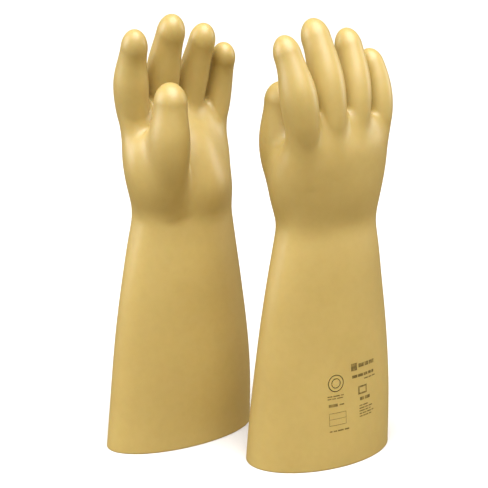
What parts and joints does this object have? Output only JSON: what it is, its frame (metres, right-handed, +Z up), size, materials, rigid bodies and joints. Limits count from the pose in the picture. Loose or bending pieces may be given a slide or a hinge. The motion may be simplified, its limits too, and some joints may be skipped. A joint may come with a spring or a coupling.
{
  "type": "electrical insulating gloves",
  "caption": "Long rubber gauntlet gloves for live electrical work, standing on their open cuffs with the fingers up and slightly curled.",
  "frame": {"origin": "on the surface the gloves stand on, midway between them, below the centre of the pair's bounding box", "axes": "+Z up along the gauntlets, from cuff to fingertips; +X from the thumbs' side to the little fingers' side; +Y from the right glove to the left glove, the right glove's palm facing +Y and the left glove's palm facing -Y"},
  "size_m": [0.2415, 0.191, 0.4098],
  "materials": {
    "latex": "satin"
  },
  "bodies": {
    "left_gauntlet": {"left_gauntlet": "latex"},
    "left_hand": {"left_hand": "latex"},
    "left_thumb": {"left_thumb": "latex"},
    "left_index_base": {"left_index_base": "latex"},
    "left_index_tip": {"left_index_tip": "latex"},
    "left_middle_base": {"left_middle_base": "latex"},
    "left_middle_tip": {"left_middle_tip": "latex"},
    "left_ring_base": {"left_ring_base": "latex"},
    "left_ring_tip": {"left_ring_tip": "latex"},
    "left_little_base": {"left_little_base": "latex"},
    "left_little_tip": {"left_little_tip": "latex"},
    "right_gauntlet": {"right_gauntlet": "latex"},
    "right_hand": {"right_hand": "latex"},
    "right_thumb": {"right_thumb": "latex"},
    "right_index_base": {"right_index_base": "latex"},
    "right_index_tip": {"right_index_tip": "latex"},
    "right_middle_base": {"right_middle_base": "latex"},
    "right_middle_tip": {"right_middle_tip": "latex"},
    "right_ring_base": {"right_ring_base": "latex"},
    "right_ring_tip": {"right_ring_tip": "latex"},
    "right_little_base": {"right_little_base": "latex"},
    "right_little_tip": {"right_little_tip": "latex"}
  },
  "joints": [
    {"name": "left_wrist", "type": "hinge", "parent": "left_gauntlet", "child": "left_hand", "pos_m": [-0.038, 0.055, 0.225], "axis": [1, 0, 0], "range_deg": [-30, 20], "stiffness_Nm_per_rad": 3},
    {"name": "left_thumb", "type": "hinge", "parent": "left_hand", "child": "left_thumb", "pos_m": [-0.06848, 0.02453, 0.31], "axis": [1, 0, 0], "range_deg": [-8, 35], "stiffness_Nm_per_rad": 0.4},
    {"name": "left_index_base", "type": "hinge", "parent": "left_hand", "child": "left_index_base", "pos_m": [-0.08147, 0.06973, 0.345], "axis": [1, 0, 0], "range_deg": [-10, 30], "stiffness_Nm_per_rad": 0.3},
    {"name": "left_index_middle", "type": "hinge", "parent": "left_index_base", "child": "left_index_tip", "pos_m": [-0.08371, 0.06053, 0.374], "axis": [1, 0, 0], "range_deg": [-10, 45], "stiffness_Nm_per_rad": 0.3},
    {"name": "left_middle_base", "type": "hinge", "parent": "left_hand", "child": "left_middle_base", "pos_m": [-0.04887, 0.06728, 0.35], "axis": [1, 0, 0], "range_deg": [-10, 30], "stiffness_Nm_per_rad": 0.3},
    {"name": "left_middle_middle", "type": "hinge", "parent": "left_middle_base", "child": "left_middle_tip", "pos_m": [-0.04925, 0.05596, 0.383], "axis": [1, 0, 0], "range_deg": [-10, 45], "stiffness_Nm_per_rad": 0.3},
    {"name": "left_ring_base", "type": "hinge", "parent": "left_hand", "child": "left_ring_base", "pos_m": [-0.01676, 0.06647, 0.343], "axis": [1, 0, 0], "range_deg": [-10, 30], "stiffness_Nm_per_rad": 0.3},
    {"name": "left_ring_middle", "type": "hinge", "parent": "left_ring_base", "child": "left_ring_tip", "pos_m": [-0.01452, 0.05786, 0.373], "axis": [1, 0, 0], "range_deg": [-10, 45], "stiffness_Nm_per_rad": 0.3},
    {"name": "left_little_base", "type": "hinge", "parent": "left_hand", "child": "left_little_base", "pos_m": [0.01121, 0.0647, 0.333], "axis": [1, 0, 0], "range_deg": [-10, 30], "stiffness_Nm_per_rad": 0.2},
    {"name": "left_little_middle", "type": "hinge", "parent": "left_little_base", "child": "left_little_tip", "pos_m": [0.01131, 0.05878, 0.357], "axis": [1, 0, 0], "range_deg": [-10, 45], "stiffness_Nm_per_rad": 0.2},
    {"name": "right_wrist", "type": "hinge", "parent": "right_gauntlet", "child": "right_hand", "pos_m": [0.048, -0.055, 0.225], "axis": [-1, 0, 0], "range_deg": [-30, 20], "stiffness_Nm_per_rad": 3},
    {"name": "right_thumb", "type": "hinge", "parent": "right_hand", "child": "right_thumb", "pos_m": [0.01752, -0.02453, 0.31], "axis": [-1, 0, 0], "range_deg": [-8, 35], "stiffness_Nm_per_rad": 0.4},
    {"name": "right_index_base", "type": "hinge", "parent": "right_hand", "child": "right_index_base", "pos_m": [0.00453, -0.06973, 0.345], "axis": [-1, 0, 0], "range_deg": [-10, 30], "stiffness_Nm_per_rad": 0.3},
    {"name": "right_index_middle", "type": "hinge", "parent": "right_index_base", "child": "right_index_tip", "pos_m": [0.00229, -0.06053, 0.374], "axis": [-1, 0, 0], "range_deg": [-10, 45], "stiffness_Nm_per_rad": 0.3},
    {"name": "right_middle_base", "type": "hinge", "parent": "right_hand", "child": "right_middle_base", "pos_m": [0.03713, -0.06728, 0.35], "axis": [-1, 0, 0], "range_deg": [-10, 30], "stiffness_Nm_per_rad": 0.3},
    {"name": "right_middle_middle", "type": "hinge", "parent": "right_middle_base", "child": "right_middle_tip", "pos_m": [0.03675, -0.05596, 0.383], "axis": [-1, 0, 0], "range_deg": [-10, 45], "stiffness_Nm_per_rad": 0.3},
    {"name": "right_ring_base", "type": "hinge", "parent": "right_hand", "child": "right_ring_base", "pos_m": [0.06924, -0.06647, 0.343], "axis": [-1, 0, 0], "range_deg": [-10, 30], "stiffness_Nm_per_rad": 0.3},
    {"name": "right_ring_middle", "type": "hinge", "parent": "right_ring_base", "child": "right_ring_tip", "pos_m": [0.07148, -0.05786, 0.373], "axis": [-1, 0, 0], "range_deg": [-10, 45], "stiffness_Nm_per_rad": 0.3},
    {"name": "right_little_base", "type": "hinge", "parent": "right_hand", "child": "right_little_base", "pos_m": [0.09721, -0.0647, 0.333], "axis": [-1, 0, 0], "range_deg": [-10, 30], "stiffness_Nm_per_rad": 0.2},
    {"name": "right_little_middle", "type": "hinge", "parent": "right_little_base", "child": "right_little_tip", "pos_m": [0.09731, -0.05878, 0.357], "axis": [-1, 0, 0], "range_deg": [-10, 45], "stiffness_Nm_per_rad": 0.2},
    {"name": "right_lift", "type": "slide", "parent": "left_gauntlet", "child": "right_gauntlet", "axis": [0, 0, 1], "range_m": [0, 0.45]}
  ]
}
